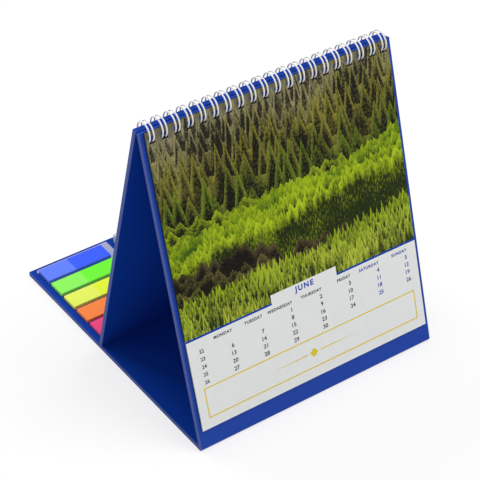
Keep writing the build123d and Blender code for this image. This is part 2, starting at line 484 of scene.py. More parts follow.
WOODED_SLOPE = (
    Growth(PrintTexture.NEEDLES, 5, (108, 84), (12, 16), (4.4, 6.4), (8, 9), ("#968f6b", "#84802f"),
           ("#232016", "#0e0f07"), 0.06, 5.0),
    Growth(PrintTexture.NEEDLES, 3, (74, 60), (20, 24), (9.0, 11.0), (11, 12), ("#7a7630", "#687a1e"),
           ("#0d0f06", "#080a04"), 0.04, 6.0, 60.0),
    Growth(PrintTexture.LEAVES, 3, (63, 55), (5, 6), (8.0, 9.0), (6, 6), ("#8f9f1c", "#9cb41a"),
           ("#161c08", "#26360a"), -0.04, 5.0, 38.0),
    Growth(PrintTexture.BLADES, 4, (52, 40), (3, 4), (3.1, 4.4), (8, 9), ("#93ac14", "#a8c01c"),
           ("#34540a", "#1a2606"), 0.10, 4.0, 40.0),
    Growth(PrintTexture.LEAVES, 4, (38, 23), (6, 8), (9.0, 11.0), (5, 6), ("#54492a", "#66682a"),
           ("#0b0705", "#120c06"), -0.16, 7.0, 36.0),
    Growth(PrintTexture.BLADES, 5, (16, -2), (6, 9), (2.6, 3.4), (9, 11), ("#98ae20", "#b0be3c"),
           ("#172206", "#26330a"), 0.05, 5.0, 34.0),
)
HARVEST_HILLS = (
    Growth(PrintTexture.LEAVES, 6, (108, 70), (6, 8), (9, 7), (8, 8), ("#8f9a8c", "#6f8a48"),
           ("#5a6660", "#1d2a14"), -0.06),
    Growth(PrintTexture.BLADES, 6, (64, 30), (2, 4), (2.6, 3.8), (6, 8), ("#d8c768", "#d9c04c"),
           ("#8a7a34", "#5c4c1c"), 0.06),
    Growth(PrintTexture.LEAVES, 2, (30, 24), (6, 7), (7, 6), (6, 6), ("#6f8a3a", "#7f9a40"),
           ("#17200c", "#1a240d"), -0.05),
    Growth(PrintTexture.BLADES, 4, (18, 0), (5, 8), (2.4, 3.0), (8, 10), ("#c9c860", "#d3cf6c"),
           ("#3c4014", "#4a4a18"), 0.02),
)


@dataclass(frozen=True)
class LeafPrint:
    """Coated leaf paper: white below, and above it an offset print of a landscape in rows of plants."""

    name: str
    growths: tuple[Growth, ...]
    seed: float
    foot_mm: float
    tab_mm: tuple[float, float, float]
    haze: str = "#6a6653"
    paper: Paper = Paper("leaf_paper_coated")
    unit_mm: float = 100.0
    dapple_mm: float = 24.0
    dapple_share: float = 1.2
    contrast: float = 2.2
    row_shift: float = 3.71
    vigour_least: float = 0.4
    vigour_spread: float = 0.8
    sheen: Sheen = Sheen((0.45, 0.6), 0.01, 0.1)

    def material(self) -> Material:
        """Builds the material; the leaf's UV map is its own plane in units of unit_mm.

        Returns:
            The finished material.
        """
        s = Shading(self.name)
        plane = s.add("UVMap", uv_map=LEAF_UV)
        axes = s.add("SeparateXYZ", {0: plane}).node.outputs
        across, up = axes["X"], axes["Y"]
        left, right, top = (edge / self.unit_mm for edge in self.tab_mm)
        bare = s.add("Math", {0: up, 1: self.foot_mm / self.unit_mm}, operation="LESS_THAN")
        middle, half = (left + right) / 2, (right - left) / 2
        inside = s.add("Math", {0: across, 1: middle, 2: half}, operation="COMPARE")
        below = s.add("Math", {0: up, 1: top}, operation="LESS_THAN")
        tab = s.add("Math", {0: inside, 1: below}, operation="MULTIPLY")
        white = s.add("Math", {0: bare, 1: tab}, operation="MAXIMUM")
        paper = self.paper
        clouds = s.add("TexNoise", {"Vector": s.at, "Scale": per_metre(paper.cloud_mm), "Detail": 3.0})
        tooth = s.add("TexNoise", {"Vector": s.at, "Scale": per_metre(paper.tooth_mm), "Detail": 3.0})
        page = s.add("Mix", {0: clouds, 6: linear(paper.tint), 7: linear(paper.cloud)}, 2, data_type="RGBA")
        picture = self._picture(s, plane, across, up)
        colour = s.add("Mix", {0: white, 6: picture, 7: page}, 2, data_type="RGBA")
        return s.finish(colour, tooth, self.sheen)

    def _picture(self, s: Shading, plane: Socket, across: Socket, up: Socket) -> Socket:
        """Landscape of rows painted over each other, lit at their tops and dark at their feet.

        Args:
            s: Material that takes the nodes.
            plane: Place on the leaf, in units of unit_mm.
            across: Place across the leaf.
            up: Place up the leaf.

        Returns:
            Colour of the print.
        """
        unit = self.unit_mm
        grains = {}
        for texture in PrintTexture:
            size, tall, _ = texture.value
            at = s.add("Mapping", {"Vector": plane, "Scale": (1.0, 1 / tall, 1.0)})
            grains[texture] = s.add("TexNoise", {
                "Vector": at, "Scale": unit / size, "Detail": 4.0, "Roughness": 0.75,
            }, noise_dimensions="2D")
        broad = s.add("TexNoise", {"Vector": plane, "Scale": unit / self.dapple_mm}, noise_dimensions="2D")
        level = -self.dapple_share / 2 - self.contrast / 2
        dapple = s.add("Math", {0: broad, 1: self.dapple_share, 2: level}, operation="MULTIPLY_ADD")
        picture: Any = linear(self.haze)
        rows = [(growth, share) for growth in self.growths for share in np.linspace(0, 1, growth.rows)]
        for order, (growth, share) in enumerate(rows, 1):
            shift = s.add("Math", {0: across, 1: self.seed + order * self.row_shift}, operation="ADD")
            row = (shift, across, up, grains[growth.texture], dapple)
            edge, tone = self._row(s, row, growth, float(share))
            light, shade = between(*growth.light, share), between(*growth.shade, share)
            band = s.add("Mix", {0: tone, 6: shade, 7: light}, 2, data_type="RGBA")
            covered = s.add("Math", {0: up, 1: edge}, operation="LESS_THAN")
            picture = s.add("Mix", {0: covered, 6: picture, 7: band}, 2, data_type="RGBA")
        return picture

    def _row(
        self, s: Shading, sockets: tuple[Socket, ...], growth: Growth, share: float
    ) -> tuple[Socket, Socket]:
        """One row: its edge is a swelling line plus pointed crowns plus grain, its tone falls with depth.

        Args:
            s: Material that takes the nodes.
            sockets: Shifted place across, place across, place up, grain and dapple.
            growth: Plants of the row.
            share: Place of the row between the first and the last one.

        Returns:
            Height of the edge, and lightness from 0 to 1.
        """
        shift, across, up, grain, dapple = sockets
        unit, ragged = self.unit_mm, growth.texture.value[2]
        pairs = (growth.height, growth.crown, growth.gap, growth.depth)
        height, crown, gap, depth = (first + (last - first) * share for first, last in pairs)
        wave = s.add("TexNoise", {"W": shift, "Scale": unit / growth.swell_length}, noise_dimensions="1D")
        cells = s.add("TexVoronoi", {"W": shift, "Scale": unit / gap}, voronoi_dimensions="1D")
        chance = {0: cells.node.outputs["Color"], 1: self.vigour_spread, 2: self.vigour_least}
        vigour = s.add("Math", chance, operation="MULTIPLY_ADD")
        taper = s.add("Math", {0: cells, 1: -2.0, 2: 1.0}, operation="MULTIPLY_ADD", use_clamp=True)
        crowns = s.add("Math", {0: taper, 1: vigour}, operation="MULTIPLY")
        level = (self.foot_mm + height - 2 * growth.swell - ragged / 2) / unit
        edge = s.add("Math", {0: wave, 1: 4 * growth.swell / unit, 2: level}, operation="MULTIPLY_ADD")
        for socket, factor in ((across, growth.slope), (crowns, crown / unit), (grain, ragged / unit)):
            edge = s.add("Math", {0: socket, 1: factor, 2: edge}, operation="MULTIPLY_ADD")
        below = s.add("Math", {0: edge, 1: up}, operation="SUBTRACT")
        lit = s.add("Math", {0: below, 1: -unit / depth, 2: 1.0}, operation="MULTIPLY_ADD", use_clamp=True)
        lit = s.add("Math", {0: lit, 1: vigour}, operation="MULTIPLY")
        tone = s.add("Math", {0: grain, 1: self.contrast, 2: lit}, operation="MULTIPLY_ADD")
        return edge, s.add("Math", {0: tone, 1: dapple}, operation="ADD", use_clamp=True)


@dataclass(frozen=True)
class BlockEdge:
    """Leaf block behind the front leaves: white edges painted grey-blue with shade and the blue board's
    reflection, darker painted shade in the slits, inked by the pictures above.
    """

    up: Array
    picture_m: float
    name: str = "leaf_paper_ink_bleed"
    # White paper edges painted grey-blue: painted shade and a painted reflection of the blue board.
    white: str = "#8a90a6"
    shaded_slit: str = "#2f3653"
    ink: str = "#39402a"
    deep: str = "#23281a"
    grain_mm: float = 4.0
    sheen: Sheen = Sheen((0.5, 0.65), 0.01, 0.1)

    def material(self) -> Material:
        """Builds the material: ink where the distance along the sheet is above the picture's foot.

        Returns:
            The finished material.
        """
        s = Shading(self.name)
        grain = s.add("TexNoise", {"Vector": s.at, "Scale": per_metre(self.grain_mm), "Detail": 4.0})
        along = s.add("VectorMath", {0: s.at, 1: tuple(self.up)}, "Value", operation="DOT_PRODUCT")
        above = s.add("Math", {0: along, 1: self.picture_m}, operation="GREATER_THAN")
        ink = s.add("Mix", {0: grain, 6: linear(self.ink), 7: linear(self.deep)}, 2, data_type="RGBA")
        # Painted shade: grey-blue edges mottled with darker slits by the grain.
        white = s.add("Mix", {0: grain, 6: linear(self.white), 7: linear(self.shaded_slit)}, 2, data_type="RGBA")
        colour = s.add("Mix", {0: above, 6: white, 7: ink}, 2, data_type="RGBA")
        return s.finish(colour, grain, self.sheen)


def mesh_piece(
    name: str,
    points: Array,
    faces: Faces,
    materials: Sequence[Material],
    face_slots: Array | None = None,
    smooth: bool = False,
) -> bpy.types.Object:
    """Puts computed points and faces into a new object at the origin.

    Args:
        name: Piece name.
        points: N by 3 array in metres.
        faces: Corner numbers of each face.
        materials: Materials of the piece.
        face_slots: Material number of each face, if not all zero.
        smooth: Whether the faces shade smoothly.

    Returns:
        The object, linked to the scene.
    """
    mesh = bpy.data.meshes.new(name)
    mesh.from_pydata(np.asarray(points).tolist(), [], [list(map(int, f)) for f in faces])
    for material in materials:
        mesh.materials.append(material)
    count = len(mesh.polygons)
    if face_slots is not None:
        mesh.polygons.foreach_set("material_index", np.asarray(face_slots, np.int32))
    mesh.polygons.foreach_set("use_smooth", np.full(count, smooth))
    mesh.update()
    piece = bpy.data.objects.new(name, mesh)
    bpy.context.scene.collection.objects.link(piece)
    return piece


def mesh_points(mesh: bpy.types.Mesh) -> Array:
    """Reads a mesh's points.

    Args:
        mesh: Any mesh.

    Returns:
        N by 3 array, in the mesh's own units.
    """
    flat = np.empty(3 * len(mesh.vertices))
    mesh.vertices.foreach_get("co", flat)
    return flat.reshape(-1, 3)


@dataclass(frozen=True)
class SheetPlane:
    """Plane of a flat CAD node: corner, directions across, up and out of its front, and its size."""

    corner: Array
    across: Array
    up: Array
    out: Array
    width: float
    height: float
    thickness: float

    @classmethod
    def of_node(cls, node: str) -> "SheetPlane":
        """Reads the plane from a node whose width runs along X.

        Args:
            node: Name of a flat CAD node.

        Returns:
            The plane, with its corner at the lower left of the front face.
        """
        points = mesh_points(frame["nodes"][node].data)
        spread = points - points.mean(axis=0)
        longest = np.linalg.eigh(spread[:, 1:].T @ spread[:, 1:])[1][:, -1]
        up = np.array([0.0, *longest]) * np.sign(longest[1])
        across = np.array([1.0, 0.0, 0.0])
        out = np.cross(across, up)
        local = points @ np.stack([across, up, out], axis=1)
        low, high = local.min(axis=0), local.max(axis=0)
        corner = across * low[0] + up * low[1] + out * high[2]
        return cls(corner, across, up, out, *(high - low))

    def place(self, u: Array, v: Array, n: Array | float) -> Array:
        """Points at u across, v up and n out of the front face, in metres."""
        u, v, n = np.broadcast_arrays(u, v, n)
        return self.corner + u[..., None] * self.across + v[..., None] * self.up + n[..., None] * self.out


def plate(u: Array, v: Array, solid: Array) -> tuple[Array, Array]:
    """Closed plate on a grid with some cells left open.

    The front lies at n 0 and the back at n 1; a wall closes each edge between a solid and an open cell.

    Args:
        u: Grid lines across.
        v: Grid lines up.
        solid: Which cells hold material.

    Returns:
        Points as rows of u, v and n, and quads, with the front's quads first.
    """
    rows, columns = len(u), len(v)
    number = np.arange(rows * columns).reshape(rows, columns)
    back = rows * columns
    i, j = np.nonzero(solid)
    front = np.stack([number[i, j], number[i + 1, j], number[i + 1, j + 1], number[i, j + 1]], axis=1)
    rear = front[:, ::-1] + back
    padded = np.pad(solid, 1)
    quads = [front, rear]
    for axis in (0, 1):
        before = padded[:-1, 1:-1] if axis == 0 else padded[1:-1, :-1]
        after = padded[1:, 1:-1] if axis == 0 else padded[1:-1, 1:]
        for ends, starts in ((before, after), (after, before)):
            i, j = np.nonzero(ends & ~starts)
            first = number[i, j]
            second = number[i, j + 1] if axis == 0 else number[i + 1, j]
            wall = np.stack([first, first + back, second + back, second], axis=1)
            turned = (axis == 0) == (ends is before)
            quads.append(wall if turned else wall[:, ::-1])
    grid_u, grid_v = np.meshgrid(u, v, indexing="ij")
    flat = np.stack([grid_u.ravel(), grid_v.ravel()], axis=-1)
    layers = [np.column_stack([flat, np.full(len(flat), n)]) for n in (0.0, 1.0)]
    faces = np.concatenate(quads)
    used, packed = np.unique(faces, return_inverse=True)
    return np.concatenate(layers)[used], packed.reshape(faces.shape)


def rounded_loop(half_x: Array, half_y: Array, radius: float, steps: int) -> Array:
    """Rounded rectangles about the origin: four quarter arcs, one loop for each pair of half sizes.

    Args:
        half_x: Half lengths of the loops.
        half_y: Half widths of the loops.
        radius: Corner radius.
        steps: Points on each corner.

    Returns:
        Array of loops, points and the two coordinates, counterclockwise.
    """
    angles = np.linspace(0, math.pi / 2, steps)[None, :] + np.arange(4)[:, None] * math.pi / 2
    signs = np.array([[1, 1], [-1, 1], [-1, -1], [1, -1]])
    arcs = radius * np.stack([np.cos(angles), np.sin(angles)], axis=-1)
    inner = np.stack([half_x - radius, half_y - radius], axis=-1)
    loops = inner[:, None, None, :] * signs[None, :, None, :] + arcs[None]
    return loops.reshape(len(half_x), -1, 2)


def loft(rings: Array, closed_ends: bool = True) -> tuple[Array, list[list[int]]]:
    """Skin over rings of equal point counts, each ring counterclockwise seen from the last one.

    Args:
        rings: Array of rings, points and coordinates.
        closed_ends: Whether a face closes each end.

    Returns:
        Points and faces.
    """
    count, around = rings.shape[:2]
    number = np.arange(count * around).reshape(count, around)
    nxt = np.roll(number, -1, axis=1)
    quads = np.stack([number[:-1], nxt[:-1], nxt[1:], number[1:]], axis=-1).reshape(-1, 4)
    faces = quads.tolist()
    if closed_ends:
        faces += [number[0, ::-1].tolist(), number[-1].tolist()]
    return rings.reshape(-1, 3), faces


def dress(nodes: Sequence[str], material: Material) -> None:
    """Gives CAD nodes one material.

    Args:
        nodes: Names of the nodes.
        material: Their finish.
    """
    for node in nodes:
        materials = frame["nodes"][node].data.materials
        materials.clear()
        materials.append(material)


def joint_place(name: str) -> Array:
    """A point on a joint's axis, in metres."""
    return np.array(next(j["pos_m"] for j in frame["joints"] if j["name"] == name), float)


@dataclass
class BoardStand:
    """Base, front board, leg and the creased strip that joins base and front."""

    fold_radius_mm: float = 2.0
    fold_steps: int = 14
    boards: tuple[str, ...] = ("base", "front", "leg")
    satin: CoverPaper = CoverPaper("cover_paper_blue_satin_film", 0.2)
    matt: CoverPaper = CoverPaper("cover_paper_blue_bare", 0.03)
    core: CutBoard = CutBoard()

    def build(self) -> None:
        """Dresses the boards and lays the strip round the fold."""
        satin = self.satin.material()
        dress(("base_bottom_cover", "front_face_cover", "leg_rear_cover"), satin)
        dress(("base_top_cover", "front_back_cover", "leg_inner_cover"), self.matt.material())
        dress([f"{board}_core" for board in self.boards], self.core.material())
        self._fold_strip(satin)

    def _fold_strip(self, cover: Material) -> None:
        """Sector about the fold's axis: an arc from the base's underside to the front face.

        Args:
            cover: Finish of the outer cover.
        """
        axis = joint_place("front_fold")
        out = SheetPlane.of_node("front_core").out
        low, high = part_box("fold_spine")
        start, end = math.atan2(-1.0, 0.0), math.atan2(out[2], out[1]) - 2 * math.pi
        angles = np.linspace(end, start, self.fold_steps)
        arc = axis[1:] + self.fold_radius_mm * MM * np.stack([np.cos(angles), np.sin(angles)], axis=-1)
        section = np.concatenate([arc, axis[None, 1:]])
        ends = np.array([low[0], high[0]])
        rings = np.empty((2, len(section), 3))
        rings[..., 0] = ends[:, None]
        rings[..., 1:] = section[None]
        strip = mesh_piece("fold_strip", *loft(rings), [cover])
        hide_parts("fold_spine")
        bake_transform(strip)
        LOG.info("fold_strip: %d faces", len(strip.data.polygons))


@dataclass(frozen=True)
class Arc:
    """Arc of the wire's centre line, turning from one direction towards another, square to it."""

    centre: Array
    first: Array
    second: Array
    radius: float
    turn: float
    steps: int

    @property
    def side(self) -> Array:
        """Direction square to the arc's plane, with which sections run counterclockwise."""
        return np.cross(self.second, self.first)

    def rings(self, offset: float, sides: int, wire_radius: float) -> Array:
        """Wire rings along the arc; offset turns the section so that rings of two arcs meet.

        Args:
            offset: Angle of the section's first point from the arc's own radius.
            sides: Points round the wire.
            wire_radius: Half the wire's diameter.

        Returns:
            Array of steps, sides and coordinates.
        """
        angle = np.linspace(0, self.turn, self.steps)[:, None]
        radial = self.first * np.cos(angle) + self.second * np.sin(angle)
        around = np.linspace(0, 2 * math.pi, sides, endpoint=False)[None, :, None] + offset
        section = np.cos(around) * radial[:, None] + np.sin(around) * self.side
        return self.centre + self.radius * radial[:, None] + wire_radius * section

    def end_mark(self, offset: float) -> Array:
        """Direction of the section's first point at the arc's end."""
        radial = self.first * math.cos(self.turn) + self.second * math.sin(self.turn)
        return math.cos(offset) * radial + math.sin(offset) * self.side

    def offset_for(self, mark: Array) -> float:
        """Section angle at the arc's start that points along a given direction."""
        return math.atan2(mark @ self.side, mark @ self.first)


@dataclass
class TwinLoopWire:
    """Binding wire: pairs of loops made of one round wire, with the seam between front board and leg."""

    pair_count: int = PAIR_COUNT
    end_margin_mm: float = PAIR_MARGIN_MM
    spacing_mm: float = 2.4
    ring_radius_mm: float = 5.79
    diameter_mm: float = 0.9
    bend_radius_mm: float = 0.9
    stub_mm: float = 0.9
    seam_gap_mm: float = 1.6
    link_lift_mm: float = 0.2
    sides: int = 12
    ring_steps: int = 44
    bend_steps: int = 9
    finish: CoatedWire = CoatedWire()

    def _arcs(self, sheet: SheetPlane) -> list[Arc]:
        """Works out the arcs of one pair at X 0.

        Args:
            sheet: Plane of the leaf that the wire holds.

        Returns:
            Link bend, ring, tip, ring and link bend.
        """
        ring, bend, half = (x * MM for x in (self.ring_radius_mm, self.bend_radius_mm, self.spacing_mm / 2))
        centre = joint_place("leg_fold") * np.array([0.0, 1.0, 1.0])
        across, down, inwards, quarter = sheet.across, -sheet.up, -sheet.out, math.pi / 2
        link = math.asin(self.link_lift_mm / self.ring_radius_mm)
        turn = 2 * math.pi - (bend + half + self.seam_gap_mm * MM) / ring
        tip = link - turn
        way = [down * math.cos(a) + inwards * math.sin(a) for a in (link, tip)]
        along = [inwards * math.cos(a) - down * math.sin(a) for a in (link, tip)]
        left, right = centre - across * half, centre + across * half
        return [
            Arc(left + way[0] * ring - across * bend, along[0], across, bend, quarter, self.bend_steps),
            Arc(left, way[0], -along[0], ring, turn, self.ring_steps),
            Arc(centre + way[1] * ring, -across, -along[1], half, math.pi, 2 * self.bend_steps),
            Arc(right, way[1], along[1], ring, turn, self.ring_steps),
            Arc(right + way[0] * ring + across * bend, -across, along[0], bend, quarter, self.bend_steps),
        ]

    def build(self) -> None:
        """Carries a round section along one pair, repeats it along X and joins the pairs by their links."""
        sheet = SheetPlane.of_node("month_leaf_01")
        arcs = self._arcs(sheet)
        offset, parts = 0.0, []
        for order, arc in enumerate(arcs):
            offset = arc.offset_for(arcs[order - 1].end_mark(offset)) if order else 0.0
            parts.append(arc.rings(offset, self.sides, self.diameter_mm * MM / 2)[1 if order else 0 :])
        pair = np.concatenate(parts)
        drift = arcs[0].offset_for(arcs[-1].end_mark(offset))
        roll = round(drift / (2 * math.pi / self.sides))
        pitch = (sheet.width - 2 * self.end_margin_mm * MM) / (self.pair_count - 1)
        shifts = (np.arange(self.pair_count) - (self.pair_count - 1) / 2) * pitch
        rings = [np.roll(pair, -roll * index, axis=1) + [x, 0, 0] for index, x in enumerate(shifts)]
        stub = np.array([self.stub_mm * MM, 0, 0])
        tube = np.concatenate([rings[0][:1] - stub, *rings, rings[-1][-1:] + stub])
        wire = mesh_piece("wire_binding_round", *loft(tube), [self.finish.material()], smooth=True)
        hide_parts("wire_binding")
        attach(wire, "front")
        LOG.info("wire_binding_round: %d faces", len(wire.data.polygons))


class InkTone(Enum):
    """Inks of a month leaf."""

    GREY = Ink("offset_ink_grey", "#2c3031", "#3c4142")
    BLUE = Ink("offset_ink_blue", "#16389c", "#2447a6")
    RULE = Ink("offset_ink_rule_blue", "#00399a", "#0440a2")
    GOLD = Ink("foil_ink_gold", "#d6bd12", "#dcc430")


class Weekday(Enum):
    """Columns of the month table."""

    MONDAY = 0
    TUESDAY = 1
    WEDNESDAY = 2
    THURSDAY = 3
    FRIDAY = 4
    SATURDAY = 5
    SUNDAY = 6

    @property
    def tone(self) -> InkTone:
        """Ink of the column, blue at the weekend."""
        return InkTone.BLUE if self in (Weekday.SATURDAY, Weekday.SUNDAY) else InkTone.GREY


@dataclass(frozen=True)
class Lettering:
    """One string of print on the leaf, in millimetres; anchor is the share of its width left of u."""

    text: str
    u: float
    v: float
    height: float
    tone: InkTone
    spread: float = 1.0
    weight: float = 0.035
    anchor: float = 0.5


@dataclass
class MonthLeaf:
    """Printed month leaf: landscape above, month table below, and a gold band for an imprint."""

    node: str
    body: str
    month: str
    days: int
    first: Weekday
    week: int
    growths: tuple[Growth, ...]
    seed: float
    hole_count: int = PAIR_COUNT
    hole_margin_mm: float = PAIR_MARGIN_MM
    hole_width_mm: float = 3.7
    hole_height_mm: float = 4.2
    picture_foot_mm: float = 55.2
    tab_mm: tuple[float, float, float] = (55.95, 100.15, 59.75)
    rule_mm: float = 1.2
    band_mm: tuple[float, float, float, float] = (5.35, 5.9, 150.4, 24.3)
    band_stroke_mm: float = 0.75
    column_mm: float = 27.85
    column_pitch_mm: float = 20.0
    week_mm: float = 8.3
    header_mm: float = 50.6
    row_mm: float = 46.2
    row_pitch_mm: float = 4.66
    digit_mm: float = 2.5
    header_height_mm: float = 1.8
    header_reach_mm: float = 1.1
    header_spread: float = 1.15
    week_share: float = 0.9
    month_height_mm: float = 3.3
    month_spread: float = 1.3
    bold: float = 0.05
    ornament_mm: tuple[float, float, float] = (15.1, 30.0, 2.8)
    ornament_stroke_mm: float = 0.8
    ornament_start: float = 1.6
    edge_play_mm: float = 0.1
    ink_lift_mm: float = 0.02
    ink_mm: float = 0.01

    def build(self, inks: dict[InkTone, Material], plain: Material) -> None:
        """Builds the sheet with its holes, then the print on it.

        Args:
            inks: Material of each ink.
            plain: Finish of the leaf's back.
        """
        self.sheet = SheetPlane.of_node(self.node)
        self._paper(plain)
        self._rectangles(inks)
        for tone in (InkTone.GREY, InkTone.BLUE):
            self._letters(tone, inks[tone])

    def _hole_foot(self) -> float:
        """Finds the holes in the CAD leaf: points of its upper half that aren't on the top edge.

        Returns:
            Height of the holes' lower edge on the leaf, in metres.
        """
        sheet = self.sheet
        up = (mesh_points(frame["nodes"][self.node].data) - sheet.corner) @ sheet.up
        inner = up[(up > sheet.height / 2) & (up < sheet.height - self.edge_play_mm * MM)]
        return float(inner.min())

    def _paper(self, plain: Material) -> None:
        """Sheet as a plate on the lines of its edges and holes, printed on the front.

        Args:
            plain: Finish of the back.
        """
        sheet = self.sheet
        margin, half = self.hole_margin_mm * MM, self.hole_width_mm * MM / 2
        middle = np.linspace(margin, sheet.width - margin, self.hole_count)
        u = np.concatenate([[0.0], np.stack([middle - half, middle + half], axis=1).ravel(), [sheet.width]])
        foot = self._hole_foot()
        v = np.array([0.0, self.picture_foot_mm * MM, foot, foot + self.hole_height_mm * MM, sheet.height])
        solid = np.ones((len(u) - 1, len(v) - 1), bool)
        solid[1::2, 2] = False
        points, faces = plate(u, v, solid)
        name = f"leaf_print_{self.node[-2:]}"
        printed = LeafPrint(name, self.growths, self.seed, self.picture_foot_mm, self.tab_mm)
        cells = int(solid.sum())
        slots = np.zeros(len(faces), np.int32)
        slots[cells : 2 * cells] = 1
        place = sheet.place(points[:, 0], points[:, 1], -points[:, 2] * sheet.thickness)
        leaf = mesh_piece(f"{self.node}_printed", place, faces, [printed.material(), plain], slots)
        uv = leaf.data.uv_layers.new(name=LEAF_UV)
        corner = np.empty(len(leaf.data.loops), np.int32)
        leaf.data.loops.foreach_get("vertex_index", corner)
        uv.data.foreach_set("uv", (points[corner, :2] / (printed.unit_mm * MM)).ravel())
        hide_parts(self.node)
        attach(leaf, self.body)
        LOG.info("%s: %d faces", leaf.name, len(faces))

    def _print(self, name: str, points: Array, faces: Faces, material: Material) -> None:
        """Lays flat print on the leaf's face.

        Args:
            name: What is printed.
            points: Rows of u, v and n, in millimetres.
            faces: Corner numbers of each face.
            material: Its ink.
        """
        place = self.sheet.place(points[:, 0] * MM, points[:, 1] * MM, points[:, 2] * MM)
        piece = mesh_piece(f"{self.node}_{name}", place, faces, [material])
        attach(piece, self.body)
        LOG.info("%s: %d faces", piece.name, len(faces))

    def _plate(self, name: str, grid: tuple[Array, Array, Array], ink: Material) -> None:
        """Prints a plate, whose n of 0 and 1 become the front and the back of a layer of ink.

        Args:
            name: What is printed.
            grid: Lines across, lines up and which cells are inked, in millimetres.
            ink: Its ink.
        """
        points, faces = plate(*grid)
        points[:, 2] = self.ink_lift_mm - points[:, 2] * self.ink_mm
        self._print(name, points, faces, ink)

    def _rectangles(self, inks: dict[InkTone, Material]) -> None:
        """Blue rule under the picture, open at the tab, and the gold outline of the imprint band.

        Args:
            inks: Material of each ink.
        """
        left, right, _ = self.tab_mm
        rule_u = np.array([0.0, left, right, self.sheet.width / MM])
        rule_v = np.array([self.picture_foot_mm - self.rule_mm, self.picture_foot_mm])
        open_tab = np.array([[True], [False], [True]])
        self._plate("rule", (rule_u, rule_v, open_tab), inks[InkTone.RULE])
        u0, v0, u1, v1 = self.band_mm
        stroke = self.band_stroke_mm
        band_u, band_v = (np.array([a, a + stroke, b - stroke, b]) for a, b in ((u0, u1), (v0, v1)))
        hollow = np.ones((3, 3), bool)
        hollow[1, 1] = False
        self._plate("gold_band", (band_u, band_v, hollow), inks[InkTone.GOLD])
        self._ornament(inks[InkTone.GOLD])

    def _ornament(self, gold: Material) -> None:
        """Gold ornament in the middle of the band: a lozenge between two tapering strokes.

        Args:
            gold: Its ink.
        """
        v, reach, size = self.ornament_mm
        middle, half = self.sheet.width / MM / 2, self.ornament_stroke_mm / 2
        lozenge = np.array([[size, 0], [0, size], [-size, 0], [0, -size]])
        start = self.ornament_start * size
        stroke = np.array([[start, -half], [reach, 0], [start, half]])
        for name, outline in (("lozenge", lozenge), ("stroke_right", stroke), ("stroke_left", -stroke)):
            rings = np.empty((2, len(outline), 3))
            rings[..., :2] = outline + [middle, v]
            rings[..., 2] = [[self.ink_lift_mm - self.ink_mm], [self.ink_lift_mm]]
            self._print(f"gold_{name}", *loft(rings), gold)

    def _column(self, day: Weekday) -> float:
        """Middle of a weekday's column, in millimetres."""
        return self.column_mm + day.value * self.column_pitch_mm

    def _strings(self) -> list[Lettering]:
        """Weekdays, days, week numbers and the month's name.

        Returns:
            Each string with its place on the leaf.
        """
        heights = (self.header_mm, self.header_height_mm)
        style = {"spread": self.header_spread, "weight": self.bold, "anchor": 1.0}
        strings = [
            Lettering(day.name, self._column(day) + self.header_reach_mm, *heights, day.tone, **style)
            for day in Weekday
        ]
        for number in range(1, self.days + 1):
            row, place = divmod(number - 1 + self.first.value, len(Weekday))
            day = Weekday(place)
            v = self.row_mm - row * self.row_pitch_mm
            strings.append(Lettering(str(number), self._column(day), v, self.digit_mm, day.tone))
        rows = (self.days - 1 + self.first.value) // len(Weekday) + 1
        for row in range(rows):
            v, height = self.row_mm - row * self.row_pitch_mm, self.digit_mm * self.week_share
            strings.append(Lettering(str(self.week + row), self.week_mm, v, height, InkTone.GREY))
        left, right, top = self.tab_mm
        u, v = (left + right) / 2, (top + self.picture_foot_mm - self.rule_mm) / 2
        style = {"spread": self.month_spread, "weight": self.bold}
        strings.append(Lettering(self.month, u, v, self.month_height_mm, InkTone.BLUE, **style))
        return strings

    def _letters(self, tone: InkTone, material: Material) -> None:
        """All lettering of one ink as one mesh: each string's points, scaled and set about its anchor.

        Args:
            tone: Ink whose strings are taken.
            material: Its material.
        """
        points, faces, count = [], [], 0
        for item in (s for s in self._strings() if s.tone is tone):
            local, polygons = outlines(item)
            scaled = local * item.height
            left, right = scaled[:, 0].min(), scaled[:, 0].max()
            scaled[:, 0] += item.u - left - item.anchor * (right - left)
            scaled[:, 1] += item.v - item.height / 2
            scaled[:, 2] = self.ink_lift_mm - self.ink_mm * (local[:, 2] < 0)
            points.append(scaled)
            faces += [[corner + count for corner in polygon] for polygon in polygons]
            count += len(scaled)
        self._print(f"print_{tone.name.lower()}", np.concatenate(points), faces, material)


def outlines(item: Lettering) -> tuple[Array, list[list[int]]]:
    """Letters as thin closed shapes, one unit tall, with points that coincide made one.

    Args:
        item: What is printed, with its letter spacing and weight.

    Returns:
        Points, with the front at positive z, and faces.
    """
    curve = bpy.data.curves.new("lettering", "FONT")
    curve.body = item.text
    curve.size = 1 / CAP_SHARE
    curve.space_character = item.spread
    curve.offset = item.weight
    curve.extrude = LETTER_DEPTH
    curve.resolution_u = LETTER_STEPS
    holder = bpy.data.objects.new("lettering", curve)
    bpy.context.scene.collection.objects.link(holder)
    mesh = bpy.data.meshes.new_from_object(holder.evaluated_get(bpy.context.evaluated_depsgraph_get()))
    points = mesh_points(mesh)
    near = points.round(WELD_DECIMALS)
    _, kept, welded = np.unique(near, axis=0, return_index=True, return_inverse=True)
    corners = welded.ravel().tolist()
    polygons = [list(dict.fromkeys(corners[v] for v in p.vertices)) for p in mesh.polygons]
    bpy.data.objects.remove(holder)
    bpy.data.curves.remove(curve)
    bpy.data.meshes.remove(mesh)
    return points[kept], [polygon for polygon in polygons if len(polygon) > 2]


